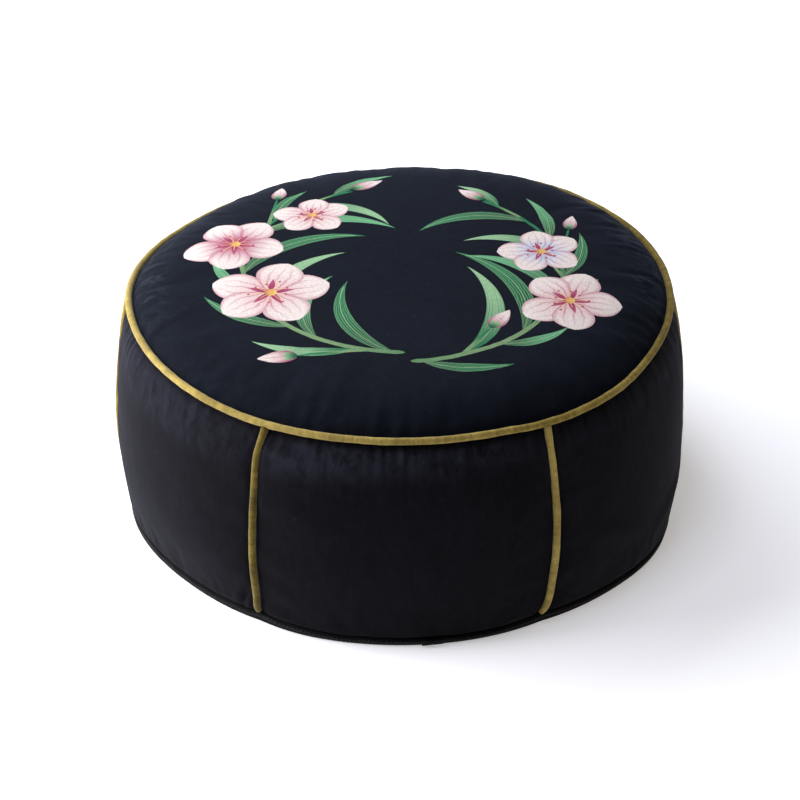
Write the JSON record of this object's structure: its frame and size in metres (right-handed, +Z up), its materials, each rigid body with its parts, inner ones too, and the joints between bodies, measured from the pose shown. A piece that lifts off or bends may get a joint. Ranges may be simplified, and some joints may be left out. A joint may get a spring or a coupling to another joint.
{
  "type": "zafu meditation cushion",
  "caption": "Round floor cushion for sitting on: a crowned printed top, bulging sides drawn in at piped seams, and a zip round its flat foot.",
  "frame": {"origin": "centre of the flat base where the cushion rests, on the floor plane", "axes": "+Z up through the crown; -Y is the front, seen by a viewer who faces +Y; +X is the viewer's right"},
  "size_m": [0.4516, 0.4528, 0.2071],
  "materials": {
    "black_velvet": "short cut velvet pile with a soft sheen at grazing light",
    "printed_velvet": "short cut velvet pile, printed, with a soft sheen",
    "olive_velvet": "short cut velvet pile over a round cord",
    "base_cloth": "plain woven cloth, matte",
    "zip_nylon": "nylon coil on a woven tape",
    "slider_enamel": "baked enamel, slightly worn",
    "filling": "packed fibre, hidden by the cover"
  },
  "bodies": {
    "root": {"filled_pad": "filling", "top_panel": "printed_velvet", "side_panel_1": "black_velvet", "side_panel_2": "black_velvet", "side_panel_3": "black_velvet", "side_panel_4": "black_velvet", "side_panel_5": "black_velvet", "side_panel_6": "black_velvet", "base_panel": "base_cloth", "top_piping": "olive_velvet", "side_piping_1": "olive_velvet", "side_piping_2": "olive_velvet", "side_piping_3": "olive_velvet", "side_piping_4": "olive_velvet", "side_piping_5": "olive_velvet", "side_piping_6": "olive_velvet", "zip": "zip_nylon", "zip_slider": "slider_enamel"}
  },
  "joints": []
}
